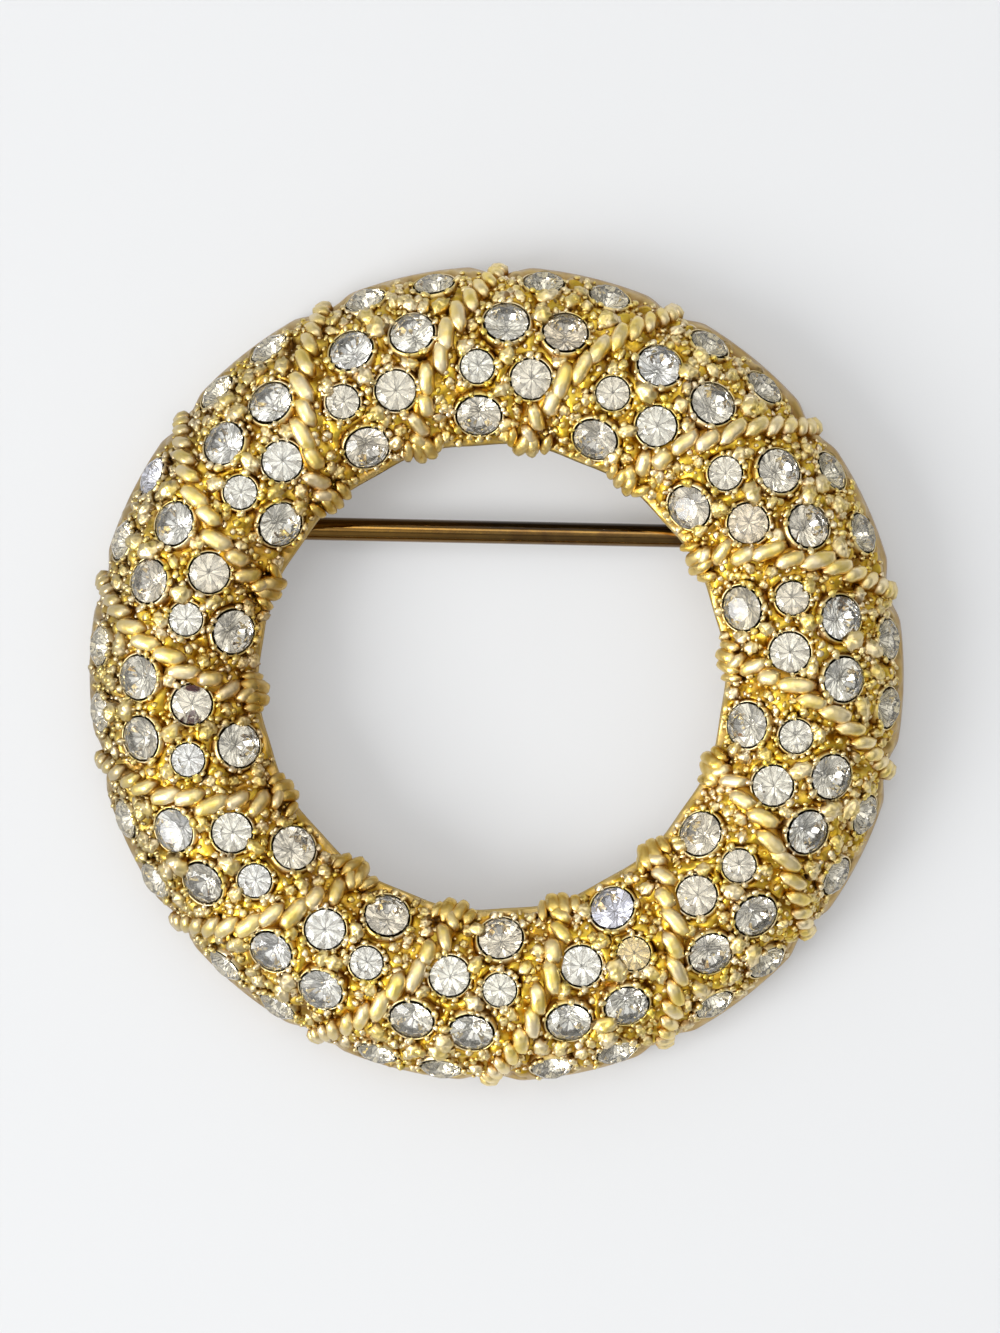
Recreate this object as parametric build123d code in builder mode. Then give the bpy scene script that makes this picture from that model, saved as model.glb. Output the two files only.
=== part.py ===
from build123d import *
from math import atan, atan2, cos, degrees, pi, radians, sin
import os

# A circle pin brooch: a domed ring cast in one piece, set with small round crystals between twisted
# rope ridges, with a hinged pin stem across its open back. It lies on its outer rim, face up.
# The origin is the ring's centre on the table. Lengths are in millimetres and angles in degrees.
# A bearing is an angle about the ring's axis, clockwise from +Y as seen from the front. A turn is the
# slope of the dome's section: 90 at the outer rim, 0 at the crest, negative down the inner side.

# The ring's section
rim_radius = 20.2
crest_radius = 15.2
skirt_height = 0.8
inner_round = 4.7
inner_turn = 51.0
wall = 1.8
outer_bands = 7
inner_bands = 4

# The pattern: one bay of stones and one ridge, repeated round the ring
bay_count = 14
pattern_bearing = -1.1

# Rope ridges
ridge_share = 0.027
ridge_sweep = 17.4
ridge_start_turn = 82.0
ridge_end_turn = -47.0
strands_per_ridge = 9
strand_radius = 0.36
strand_length = 0.85
strand_lean = 40.0
strand_lift = 0.1
heading_step = 0.01

# Crystals and their seats
large_stone = 2.25
medium_stone = 2.05
small_stone = 1.7
facet_count = 8
table_share = 0.56
culet_share = 0.05
crown_share = 0.15
pavilion_share = 0.42
girdle_height = 0.12
stone_sink = 0.05
stone_gap = 0.08
seat_reach = 0.8

# Cast nuggets between the stones
large_nugget = 0.5
small_nugget = 0.4
nugget_sink = 0.1

# Pin stem
wire_diameter = 1.15
stem_offset = 7.1
stem_height = 1.3
point_length = 3.0
point_radius = 0.15
point_overhang = 0.8
eye_radius = 0.9
eye_thickness = 0.9

# Hinge
hinge_inset = 5.7
rivet_radius = 0.35
rivet_head_radius = 0.6
rivet_head_height = 0.22
cheek_width = 2.0
cheek_thickness = 0.6
cheek_drop = 0.9
cheek_foot_radius = 0.8
cheek_gap = 0.06
running_gap = 0.03
seating_gap = 0.02

# Catch
catch_inset = 6.6
catch_length = 2.4
catch_wall = 0.55
catch_drop = 0.35
catch_gap = 0.12
solder_bite = 0.3

# The stones of one bay: the place round the ring as a share of the bay, the turn, and the diameter
StoneRows = [
    # share, turn, diameter
    (0.284, 62.0, medium_stone),
    (0.673, 61.5, medium_stone),
    (0.115, 27.0, large_stone),
    (0.500, 26.0, large_stone),
    (-0.083, 1.0, small_stone),
    (0.300, -5.0, medium_stone),
    (-0.094, -30.0, large_stone),
]

# The nuggets of one bay: the place round the ring as a share of the bay, the turn, and the radius
NuggetRows = [
    # share, turn, radius
    (0.310, 33.0, large_nugget),
    (0.300, 45.0, large_nugget),
    (0.690, 40.0, large_nugget),
    (0.480, 47.0, small_nugget),
    (0.110, 7.5, large_nugget),
    (0.105, -14.0, small_nugget),
    (0.470, 7.0, small_nugget),
    (0.130, -36.0, small_nugget),
    (-0.130, 14.5, small_nugget),
]

# Worked out from the sizes above
bay_pitch = 360 / bay_count
outer_round = rim_radius - crest_radius
crest_height = skirt_height + outer_round
wire_radius = wire_diameter / 2
pivot_x = hinge_inset - rim_radius
catch_x = rim_radius - catch_inset
stem_start = Vector(pivot_x, stem_offset, stem_height)
stem_length = catch_x + catch_length / 2 + point_overhang - pivot_x
cheek_span = wire_diameter + 2 * cheek_gap + 2 * cheek_thickness
cheek_bottom = stem_height - cheek_drop
slot_radius = wire_radius + catch_gap
catch_bottom = stem_height - wire_radius - catch_drop
pivot_plane = Plane(origin=stem_start, x_dir=(1, 0, 0), z_dir=(0, 1, 0))


def radial(bearing):
    return Vector(sin(radians(bearing)), cos(radians(bearing)), 0)


def dome_point(turn, lift=0.0):
    # Distance from the ring's axis, and height, of a point on the dome's section or above it.
    if turn > 0:
        centre_height, reach = skirt_height, outer_round + lift
    else:
        centre_height, reach = crest_height - inner_round, inner_round + lift
    return crest_radius + reach * sin(radians(turn)), centre_height + reach * cos(radians(turn))


def dome_plane(bearing, turn, lift=0.0):
    # A plane that touches the dome: x runs clockwise round the ring and z points out of the metal.
    distance, height = dome_point(turn, lift)
    normal = radial(bearing) * sin(radians(turn)) + Vector(0, 0, cos(radians(turn)))
    origin = radial(bearing) * distance + Vector(0, 0, height)
    return Plane(origin=origin, x_dir=radial(bearing + 90), z_dir=normal)


def section_outline(depth):
    # The dome's section at a depth below its surface, in short bands, closed down to the table.
    outer_turns = [90 * (1 - band / outer_bands) for band in range(outer_bands)]
    inner_turns = [-inner_turn * band / inner_bands for band in range(inner_bands + 1)]
    edge = [dome_point(turn, -depth) for turn in outer_turns + inner_turns]
    Polyline((edge[0][0], 0), *edge, (edge[-1][0], 0), close=True)
    return edge[-1]


def pattern_places(rows, size, lift):
    # Where the stones or nuggets of one size touch the dome, all round the ring.
    return [
        dome_plane(pattern_bearing + (bay + share) * bay_pitch, turn, lift).location
        for bay in range(bay_count)
        for share, turn, row_size in rows
        if row_size == size
    ]


def ridge_place(ridge, share, lift=0.0):
    # A point along a ridge, from the rim to the inner edge: straight down at both edges, where it
    # eases in and out of its slant across the dome.
    eased = share * share * (3 - 2 * share)
    turn = ridge_start_turn + share * (ridge_end_turn - ridge_start_turn)
    bearing = pattern_bearing + (ridge + ridge_share) * bay_pitch - eased * ridge_sweep
    return dome_plane(bearing, turn, lift)


def strand_places():
    # Each strand leans the same way off its ridge's own direction.
    places = []
    for ridge in range(bay_count):
        for index in range(strands_per_ridge):
            share = (index + 0.5) / strands_per_ridge
            here = ridge_place(ridge, share, strand_lift)
            ahead = here.to_local_coords(ridge_place(ridge, share - heading_step, strand_lift).origin)
            heading = degrees(atan2(ahead.Y, ahead.X))
            places.append(here.location * Location((0, 0, 0), (0, 0, heading + strand_lean)))
    return places


def seat_tool(diameter):
    # The hole for one stone: a cylinder down to the girdle and a cone below it.
    girdle_radius = diameter / 2 + stone_gap
    girdle_bottom = -girdle_height / 2 - stone_gap
    tip = girdle_bottom - pavilion_share * diameter - stone_gap
    with BuildPart() as tool:
        with BuildSketch(Plane.XZ):
            with BuildLine():
                Polyline(
                    (0, seat_reach),
                    (girdle_radius, seat_reach),
                    (girdle_radius, girdle_bottom),
                    (stone_gap, tip),
                    (0, tip),
                    close=True,
                )
            make_face()
        revolve(axis=Axis.Z)
    return tool.part


def cut_stone(diameter):
    # A faceted stone with a flat table, a thin girdle and a pavilion that ends in a small culet.
    girdle_radius = diameter / 2
    flat_reach = girdle_radius * cos(pi / facet_count)
    with BuildPart() as stone:
        with BuildSketch(Plane.XY.offset(-girdle_height / 2)):
            RegularPolygon(girdle_radius, facet_count)
        extrude(amount=girdle_height)
        for side, depth, end_share in (
            (1, crown_share * diameter, table_share),
            (-1, pavilion_share * diameter, culet_share),
        ):
            with BuildSketch(Plane.XY.offset(side * girdle_height / 2)):
                RegularPolygon(girdle_radius, facet_count)
            slope = degrees(atan((1 - end_share) * flat_reach / depth))
            extrude(amount=side * depth, taper=slope)
    return stone.part


# One strand of a rope ridge: a short bar with round ends
with BuildPart() as strand:
    Cylinder(strand_radius, strand_length, rotation=(0, 90, 0))
    with Locations((-strand_length / 2, 0, 0), (strand_length / 2, 0, 0)):
        Sphere(strand_radius)

# The hinge's two cheeks and the catch, reaching up into the dome's wall, where they are soldered
with BuildPart() as findings:
    cheek_y = (cheek_span - cheek_thickness) / 2
    with Locations(*[(pivot_x, stem_offset + side * cheek_y, cheek_bottom) for side in (-1, 1)]):
        Box(
            cheek_width,
            cheek_thickness,
            crest_height - cheek_bottom,
            align=(Align.CENTER, Align.CENTER, Align.MIN),
        )
    cheek_feet = findings.edges().filter_by(Axis.Y).group_by(Axis.Z)[0]
    fillet(cheek_feet, radius=cheek_foot_radius)
    with Locations(pivot_plane):
        Cylinder(rivet_radius + seating_gap, 2 * cheek_span, mode=Mode.SUBTRACT)
    with Locations((catch_x, stem_offset, catch_bottom)):
        Box(
            catch_length,
            2 * (slot_radius + catch_wall),
            crest_height - catch_bottom,
            align=(Align.CENTER, Align.CENTER, Align.MIN),
        )
    with Locations((catch_x, stem_offset, stem_height)):
        Cylinder(slot_radius, 2 * catch_length, rotation=(0, 90, 0), mode=Mode.SUBTRACT)
        Box(
            2 * catch_length,
            2 * slot_radius,
            crest_height,
            align=(Align.CENTER, Align.CENTER, Align.MAX),
            mode=Mode.SUBTRACT,
        )
    with BuildSketch(Plane.XZ):
        with BuildLine():
            section_outline(wall - solder_bite)
        make_face()
    revolve(axis=Axis.Z, mode=Mode.INTERSECT)

# What stands on the shell and what is cut from it, as lists of placed copies
relief = [place * strand.part for place in strand_places()]
for radius in (large_nugget, small_nugget):
    nugget = Sphere(radius)
    relief += [place * nugget for place in pattern_places(NuggetRows, radius, -nugget_sink)]
seats = []
stones = []
for diameter in (large_stone, medium_stone, small_stone):
    places = pattern_places(StoneRows, diameter, -stone_sink)
    tool = seat_tool(diameter)
    stone = cut_stone(diameter)
    seats += [place * tool for place in places]
    stones += [place * stone for place in places]

# The casting: a shell open at the back, with an inner lip that stops above the pin stem
with BuildPart() as ring_casting:
    with BuildSketch(Plane.XZ):
        with BuildLine():
            section_outline(0)
        make_face()
        with BuildLine():
            lip_reach, lip_height = section_outline(wall)
        make_face(mode=Mode.SUBTRACT)
        Rectangle(lip_reach, lip_height, align=(Align.MIN, Align.MIN), mode=Mode.SUBTRACT)
    revolve(axis=Axis.Z)
    add(relief + [findings.part])
    add(seats, mode=Mode.SUBTRACT)

with BuildPart() as crystals:
    add(stones)

# The stem: straight wire with a tapered point at the catch and a flattened eye at the hinge
with BuildPart() as pin_stem:
    with BuildSketch(Plane(origin=stem_start, x_dir=(1, 0, 0), z_dir=(0, -1, 0))):
        with BuildLine():
            Polyline(
                (0, 0),
                (0, wire_radius),
                (stem_length - point_length, wire_radius),
                (stem_length, point_radius),
                (stem_length, 0),
                close=True,
            )
        make_face()
    revolve(axis=Axis(stem_start, (1, 0, 0)))
    with Locations(pivot_plane):
        Cylinder(eye_radius, eye_thickness)
        Cylinder(rivet_radius + running_gap, 2 * wire_diameter, mode=Mode.SUBTRACT)

# The rivet: its shank runs through both cheeks and the eye, and its heads lie outside the cheeks
with BuildPart() as hinge_rivet:
    with Locations(pivot_plane):
        Cylinder(rivet_radius, cheek_span + 2 * seating_gap + rivet_head_height)
    head_y = cheek_span / 2 + seating_gap + rivet_head_height / 2
    for side in (-1, 1):
        with Locations(pivot_plane.offset(side * head_y)):
            Cylinder(rivet_head_radius, rivet_head_height)

os.makedirs("parts", exist_ok=True)
pieces = {
    "ring_casting": ring_casting,
    "crystals": crystals,
    "pin_stem": pin_stem,
    "hinge_rivet": hinge_rivet,
}
for name, piece in pieces.items():
    piece.part.label = name
    export_step(piece.part, f"parts/{name}.step")
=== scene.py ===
# %% [markdown]
# # A circle pin brooch, lying face up
# The brooch is one gold plated casting: a domed ring, open at the back, with fourteen twisted ropes running
# over it and round foiled crystals pressed into seats between them. Grains and beads of metal fill the
# ground. A pin stem is hinged at the back, and its wire shows through the middle of the ring.
#
# The imported CAD model is the fixed frame. Loading it first gives its parts and its box, which is kept
# beside the box of the finished picture model. Every Blender piece of the brooch rides on an empty for its
# body.

import bmesh
import bpy
import math
import numpy as np
from mathutils import Matrix, Vector, noise


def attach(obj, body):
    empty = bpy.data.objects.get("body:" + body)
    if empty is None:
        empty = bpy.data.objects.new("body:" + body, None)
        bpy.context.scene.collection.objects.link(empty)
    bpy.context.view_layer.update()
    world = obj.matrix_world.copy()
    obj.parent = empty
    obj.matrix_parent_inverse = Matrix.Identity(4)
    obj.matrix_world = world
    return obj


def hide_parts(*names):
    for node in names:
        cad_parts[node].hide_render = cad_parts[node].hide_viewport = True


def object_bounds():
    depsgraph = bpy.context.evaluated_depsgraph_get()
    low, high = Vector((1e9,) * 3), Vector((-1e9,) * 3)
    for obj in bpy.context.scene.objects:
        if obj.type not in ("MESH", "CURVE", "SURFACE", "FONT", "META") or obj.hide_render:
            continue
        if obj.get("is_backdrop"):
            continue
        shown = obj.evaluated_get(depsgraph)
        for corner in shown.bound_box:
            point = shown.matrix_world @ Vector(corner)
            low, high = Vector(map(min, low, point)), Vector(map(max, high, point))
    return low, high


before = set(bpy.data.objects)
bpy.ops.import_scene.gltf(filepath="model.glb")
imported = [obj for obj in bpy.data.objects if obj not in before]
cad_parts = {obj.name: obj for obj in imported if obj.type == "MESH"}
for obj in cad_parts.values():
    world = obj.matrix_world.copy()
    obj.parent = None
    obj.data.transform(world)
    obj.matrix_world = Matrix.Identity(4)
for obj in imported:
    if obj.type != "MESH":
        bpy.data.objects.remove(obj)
mm = 0.001
cad_low, cad_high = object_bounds()


def show(name, data):
    """A new object in the scene."""
    obj = bpy.data.objects.new(name, data)
    bpy.context.scene.collection.objects.link(obj)
    return obj


print("CAD box in mm", [round(v / mm, 2) for v in (*cad_low, *cad_high)])

# %% [markdown]
# ## The camera
# The photograph looks down on the brooch almost straight, from a little to the right, through a long lens.
# So the camera stands far off with a narrow view, and its place is worked out from how many pixels one
# millimetre takes. Its up direction is turned by the small angle at which the pin stem runs in the
# photograph. The sensor size belongs to the long side of the picture, which keeps the framing whatever the
# size of the render.

# %% Place the camera
photo_width, photo_height = 1000, 1333
pixels_per_mm = 20.0
camera_reach = 300.0
lean_right, lean_up, roll = math.radians(3.4), math.radians(2.3), math.radians(1.1)
ring_pixel = (496.4, 673.9)
sensor_size = 36.0

toward = Vector((math.sin(lean_right), math.sin(lean_up), 0.0))
toward.z = math.sqrt(1 - toward.length_squared)
level_up = (Vector((0, 1, 0)) - toward * toward.y).normalized()
level_right = level_up.cross(toward)
view_right = level_right * math.cos(roll) + level_up * math.sin(roll)
view_up = toward.cross(view_right)
shift_right = (photo_width / 2 - ring_pixel[0]) / pixels_per_mm
shift_up = (ring_pixel[1] - photo_height / 2) / pixels_per_mm
stand = (toward * camera_reach + view_right * shift_right + view_up * shift_up) * mm

camera_data = bpy.data.cameras.new("camera")
camera_data.sensor_fit = "AUTO"
camera_data.sensor_width = sensor_size
camera_data.lens = pixels_per_mm * camera_reach * sensor_size / photo_height
camera_data.clip_start, camera_data.clip_end = 0.01, 10.0
camera = show("camera", camera_data)
axes = Matrix((view_right, view_up, toward)).transposed()
camera.matrix_world = Matrix.Translation(stand) @ axes.to_4x4()
bpy.context.scene.camera = camera
print("lens", round(camera_data.lens, 1), "mm, standing at", [round(v / mm, 1) for v in stand])

# %% [markdown]
# ## Sizes shared with the CAD model
# The scene has to lay its ropes and stones where the CAD solids are, so it repeats the sizes of the ring's
# section and of its pattern, in millimetres. A bearing is an angle round the ring, clockwise from +Y. A turn
# is the slope of the dome's section: 90 at the outer rim, 0 on the crest, negative down the inner side.

# %% The ring's section and its pattern
rim_radius, crest_radius, skirt_height = 20.2, 15.2, 0.8
inner_round, inner_turn, wall = 4.7, 51.0, 1.8
outer_round = rim_radius - crest_radius
crest_height = skirt_height + outer_round

bay_count, pattern_bearing = 14, -1.1
bay_pitch = 360 / bay_count
ridge_share, ridge_sweep, ridge_start_turn, ridge_end_turn = 0.027, 17.4, 82.0, -47.0

# The stones of one bay: the place round the ring as a share of the bay, the turn, and the diameter
StoneRows = [
    (0.284, 62.0, 2.05),
    (0.673, 61.5, 2.05),
    (0.115, 27.0, 2.25),
    (0.500, 26.0, 2.25),
    (-0.083, 1.0, 1.7),
    (0.300, -5.0, 2.05),
    (-0.094, -30.0, 2.25),
]

# The cast nuggets of one bay: the place as a share of the bay, the turn, and the radius
NuggetRows = [
    (0.310, 33.0, 0.5),
    (0.300, 45.0, 0.5),
    (0.690, 40.0, 0.5),
    (0.480, 47.0, 0.4),
    (0.110, 7.5, 0.5),
    (0.105, -14.0, 0.4),
    (0.470, 7.0, 0.4),
    (0.130, -36.0, 0.4),
    (-0.130, 14.5, 0.4),
]

# %% [markdown]
# ## Finding a place on the dome
# Everything on the ring is placed by a bearing and a turn. One helper gives the point of the section, another
# adds the direction out of the metal and the direction round the ring. They take whole arrays, so the many
# thousand points of the shell are worked out at once.

# %% Helpers that measure the dome
def dome_point(turn, lift=0.0):
    """Distance from the ring's axis, and height, in millimetres."""
    angle = np.radians(turn)
    outer = np.asarray(turn) > 0
    reach = np.where(outer, outer_round, inner_round) + lift
    centre_height = np.where(outer, skirt_height, crest_height - inner_round)
    return crest_radius + reach * np.sin(angle), centre_height + reach * np.cos(angle)


def dome_place(bearing, turn, lift=0.0):
    """Position, direction out of the metal, and direction clockwise round the ring."""
    bearing, turn, lift = np.broadcast_arrays(np.radians(bearing), np.asarray(turn, float), lift)
    distance, height = dome_point(turn, lift)
    slope = np.radians(turn)
    radial = np.stack([np.sin(bearing), np.cos(bearing), 0 * bearing], -1)
    across = np.stack([np.cos(bearing), -np.sin(bearing), 0 * bearing], -1)
    upward = np.array([0.0, 0.0, 1.0])
    outward = radial * np.sin(slope)[..., None] + upward * np.cos(slope)[..., None]
    return radial * distance[..., None] + upward * height[..., None], outward, across


def rope_bearing(turn):
    """How far the rope that starts at bearing 0 has swept round at a turn."""
    share = np.clip((ridge_start_turn - turn) / (ridge_start_turn - ridge_end_turn), 0, 1)
    return pattern_bearing + ridge_share * bay_pitch - share**2 * (3 - 2 * share) * ridge_sweep


def rope_gap(bearing, turn):
    """Distance along the surface to the nearest rope's centre line, in millimetres."""
    step = 0.5
    distance, height = dome_point(turn)
    off = (bearing - rope_bearing(turn) + bay_pitch / 2) % bay_pitch - bay_pitch / 2
    sweep = np.radians(rope_bearing(turn + step) - rope_bearing(turn - step)) * distance
    climb = np.radians(2 * step) * np.where(np.asarray(turn) > 0, outer_round, inner_round)
    return np.abs(np.radians(off) * distance) * climb / np.hypot(sweep, climb)


def smooth_step(low, high, value):
    share = np.clip((value - low) / (high - low), 0, 1)
    return share * share * (3 - 2 * share)


print("crest at", dome_point(0.0), "mm, rim at", dome_point(90.0), "mm")

# %% [markdown]
# ## How much each bay swells
# On the real ring the ropes lie in shallow valleys and the ground between them swells a little, which gives
# the outer outline its gentle scallops. The swell is a small lift that grows with the distance from the
# nearest rope. The stones are lifted by the same amount, so that they stay in their seats. Those of the
# second row from the rim lean out a little more than the dome does.

# %% The swell of a bay, and the places of the stones
bay_swell, valley, bay_slope = 0.16, 0.08, (0.4, 2.6)
rim_swell, rim_valley, rim_slope = 0.32, 0.2, (0.3, 1.7)
rim_turns = (72, 86)
second_row, second_row_lean = (2, 3), 6.0
stone_drop = 0.02


def swell(bearing, turn):
    gap = rope_gap(bearing, turn)
    on_dome = bay_swell * smooth_step(*bay_slope, gap) - valley
    at_rim = rim_swell * smooth_step(*rim_slope, gap) - rim_valley
    share = smooth_step(*rim_turns, turn)
    return on_dome * (1 - share) + at_rim * share


def pattern(rows):
    """One row for each piece on the ring: bearing, turn, size and the row of the table it comes from."""
    return np.array([
        (pattern_bearing + (bay + share) * bay_pitch, turn, size, row)
        for bay in range(bay_count)
        for row, (share, turn, size) in enumerate(rows)
    ])


dice = np.random.default_rng(14)
stones = pattern(StoneRows)
stones[:, 0] += dice.normal(0, 0.18, len(stones))
stones[:, 1] += dice.normal(0, 0.5, len(stones))
stone_lift = swell(stones[:, 0], stones[:, 1]) - stone_drop + dice.normal(0, 0.02, len(stones))
stone_spot, stone_outward, stone_across = dome_place(stones[:, 0], stones[:, 1], stone_lift)
lean = np.radians(second_row_lean) * np.isin(stones[:, 3], second_row)[:, None]
downhill = np.cross(stone_outward, stone_across)
stone_outward = stone_outward * np.cos(lean) + downhill * np.sin(lean)
print(len(stones), "stones of", sorted(set(stones[:, 2])), "mm")

# %% [markdown]
# ## Writing node trees
# Geometry Nodes and shader nodes are both built with the same small helpers, so that a tree reads like a
# recipe, from left to right. One adds a node and plugs its inputs, by name, into values or into other nodes.
# Others open and close a tree with named inputs, and give the steps that come up again and again: a sum, a
# mix of two colours, a change of range, a soft noise.

# %% Helpers for node trees
def pick(sockets, name):
    """The socket in use with this name. Some nodes hold hidden twins of a name for other kinds of data."""
    return next(s for s in sockets if s.name == name and s.enabled)


def add(tree, kind, plugs=(), **settings):
    """Adds a node. A plug is a name, or an index where names repeat, with a value or another socket."""
    node = tree.nodes.new(kind)
    node.location = (180 * len(tree.nodes), 0)
    for name, value in settings.items():
        setattr(node, name, value)
    for name, value in dict(plugs).items():
        socket = node.inputs[name] if isinstance(name, int) else pick(node.inputs, name)
        if isinstance(value, bpy.types.NodeSocket):
            tree.links.new(value, socket)
        else:
            socket.default_value = value
    return node


def result(tree, kind, plugs=(), out=None, **settings):
    """Adds a node and gives the output that the next step reads."""
    node = add(tree, kind, plugs, **settings)
    if out:
        return pick(node.outputs, out)
    return next(s for s in node.outputs if s.enabled)


def calc(tree, work, *values):
    """A Math node: two values, or sockets, go in and one comes out."""
    return result(tree, "ShaderNodeMath", dict(enumerate(values)), operation=work)


def calc_vector(tree, work, *values):
    """A Vector Math node. Scaling takes its factor from a socket of its own."""
    if work == "SCALE":
        plugs = {0: values[0], "Scale": values[1]}
    else:
        plugs = dict(enumerate(values))
    return result(tree, "ShaderNodeVectorMath", plugs, operation=work)


def blend(tree, share, first, second):
    """A colour between two others."""
    plugs = {"Factor": share, "A": first, "B": second}
    return result(tree, "ShaderNodeMix", plugs, out="Result", data_type="RGBA")


def remap(tree, value, low, high, least=0.0, most=1.0, curve="LINEAR"):
    """A Map Range node, straight or, with the curve SMOOTHSTEP, soft at both ends."""
    plugs = {"Value": value, "From Min": low, "From Max": high, "To Min": least, "To Max": most}
    return result(tree, "ShaderNodeMapRange", plugs, interpolation_type=curve)


def object_place(tree):
    return result(tree, "ShaderNodeTexCoord", out="Object")


def soft_noise(tree, size):
    plugs = {"Vector": object_place(tree), "Scale": size, "Detail": 3.0, "Roughness": 0.6}
    return result(tree, "ShaderNodeTexNoise", plugs)


def stored(tree, label):
    """The number that a mesh keeps under this name, as a material reads it."""
    return result(tree, "ShaderNodeAttribute", out="Fac", attribute_name=label)


def named(tree, label, kind="FLOAT"):
    """What a mesh keeps under this name, as Geometry Nodes read it."""
    return result(tree, "GeometryNodeInputNamedAttribute", {"Name": label}, data_type=kind)


def open_tree(name, kind, inputs, outputs):
    """A new tree with its named inputs and outputs. Gives the tree and its input sockets by name."""
    tree = bpy.data.node_groups.new(name, kind)
    for label, socket, value in inputs:
        made = tree.interface.new_socket(label, in_out="INPUT", socket_type="NodeSocket" + socket)
        if value is not None:
            made.default_value = value
    for label, socket in outputs:
        tree.interface.new_socket(label, in_out="OUTPUT", socket_type="NodeSocket" + socket)
    start = tree.nodes.new("NodeGroupInput")
    return tree, {s.name: s for s in start.outputs}


def close_tree(tree, **made):
    add(tree, "NodeGroupOutput", made)


def new_mesh(name, points, edges=(), faces=(), smooth=True, **attributes):
    """An object from points in millimetres. Each further argument is stored as a point attribute."""
    mesh = bpy.data.meshes.new(name)
    mesh.from_pydata((np.asarray(points) * mm).tolist(), edges, faces)
    for label, values in attributes.items():
        values = np.asarray(values, np.float32)
        if values.ndim == 2:
            mesh.attributes.new(label, "FLOAT_VECTOR", "POINT").data.foreach_set("vector", values.ravel())
        else:
            mesh.attributes.new(label, "FLOAT", "POINT").data.foreach_set("value", values)
    if smooth:
        mesh.polygons.foreach_set("use_smooth", [True] * len(mesh.polygons))
    return show(name, mesh)


def face_outward(mesh):
    work = bmesh.new()
    work.from_mesh(mesh)
    bmesh.ops.recalc_face_normals(work, faces=work.faces)
    work.to_mesh(mesh)
    work.free()


def grow(obj, tree, **values):
    """Runs a Geometry Nodes tree on the object, and keeps the result as its plain mesh."""
    modifier = obj.modifiers.new("grow", "NODES")
    modifier.node_group = tree
    for item in tree.interface.items_tree:
        label = item.name.replace(" ", "_").lower()
        if item.in_out == "INPUT" and label in values:
            modifier[item.identifier] = values[label]
    bpy.context.view_layer.update()
    depsgraph = bpy.context.evaluated_depsgraph_get()
    depsgraph.update()
    made = bpy.data.meshes.new_from_object(obj.evaluated_get(depsgraph))
    obj.modifiers.remove(modifier)
    old, obj.data = obj.data, made
    made.name = obj.name
    bpy.data.meshes.remove(old)
    triangles = sum(len(p.vertices) - 2 for p in made.polygons)
    print(obj.name, "has", triangles, "triangles")
    return obj


print("node helpers are ready")

# %% [markdown]
# ## Colours of gold plate
# Plated castings aren't one gold. The worn high places are pale and creamy, the flat ground is warm yellow,
# and the recesses keep a deep orange brown where polish never reached; that deep colour is partly painted
# shade in the recesses. A shader node group mixes these three, by a soft noise and by how deep a place lies,
# and every gold material uses the same group with its own values. On the left, the side of the hinge, the
# plate is darkened by painted shade, grey brown along the outer rim and brown along the opening, so two bands
# of painted shade fade in there by the distance from the ring's axis and by how far to the left a place lies.

# %% The group for the colour of gold plate
PaintedShadeRows = [
    # distance from the axis where the band starts and where it is full, its strength, its colour
    (16.8, 19.4, 0.6, (0.2, 0.15, 0.07, 1)),
    (15.2, 12.4, 0.4, (0.36, 0.17, 0.01, 1)),
]

plate_colour, socket = open_tree(
    "Plate Colour",
    "ShaderNodeTree",
    [
        ("Pale", "Color", (0.93, 0.82, 0.56, 1)),
        ("Warm", "Color", (0.85, 0.63, 0.27, 1)),
        ("Deep", "Color", (0.45, 0.2, 0.03, 1)),
        ("Patch Size", "Float", 900.0),
        ("Depth", "Float", 0.0),
    ],
    [("Color", "Color")],
)
share = remap(plate_colour, soft_noise(plate_colour, socket["Patch Size"]), 0.35, 0.65)
plate = blend(plate_colour, share, socket["Pale"], socket["Warm"])
plate = blend(plate_colour, socket["Depth"], plate, socket["Deep"])
place = object_place(plate_colour)
level = calc_vector(plate_colour, "MULTIPLY", place, (1.0, 1.0, 0.0))
radius = calc_vector(plate_colour, "LENGTH", level)
leftward = calc_vector(plate_colour, "DOT_PRODUCT", level, (-1.0, 0.0, 0.0))
leftward = calc(plate_colour, "MAXIMUM", calc(plate_colour, "DIVIDE", leftward, radius), 0.0)
# Painted shade on the left: each band darkens the plate towards its colour, more the further left
for start, full, strength, painted_shade_colour in PaintedShadeRows:
    band = remap(plate_colour, radius, start * mm, full * mm, 0.0, strength, "SMOOTHSTEP")
    plate = blend(plate_colour, calc(plate_colour, "MULTIPLY", band, leftward), plate, painted_shade_colour)
close_tree(plate_colour, Color=plate)
print("group", plate_colour.name)

# %% [markdown]
# ## Wear and cast skin
# Two more groups are shared by the metals. One varies the roughness, because rubbed patches shine more than
# the rest. The other gives the fine unevenness of a cast and plated skin, as a height for a Bump node.

# %% The groups for wear and for cast skin
worn_sheen, socket = open_tree(
    "Worn Sheen",
    "ShaderNodeTree",
    [("Polished", "Float", 0.2), ("Dull", "Float", 0.45), ("Patch Size", "Float", 1500.0)],
    [("Roughness", "Float")],
)
patches = soft_noise(worn_sheen, socket["Patch Size"])
sheen = remap(worn_sheen, patches, 0.3, 0.7, socket["Polished"], socket["Dull"])
close_tree(worn_sheen, Roughness=sheen)

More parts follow.
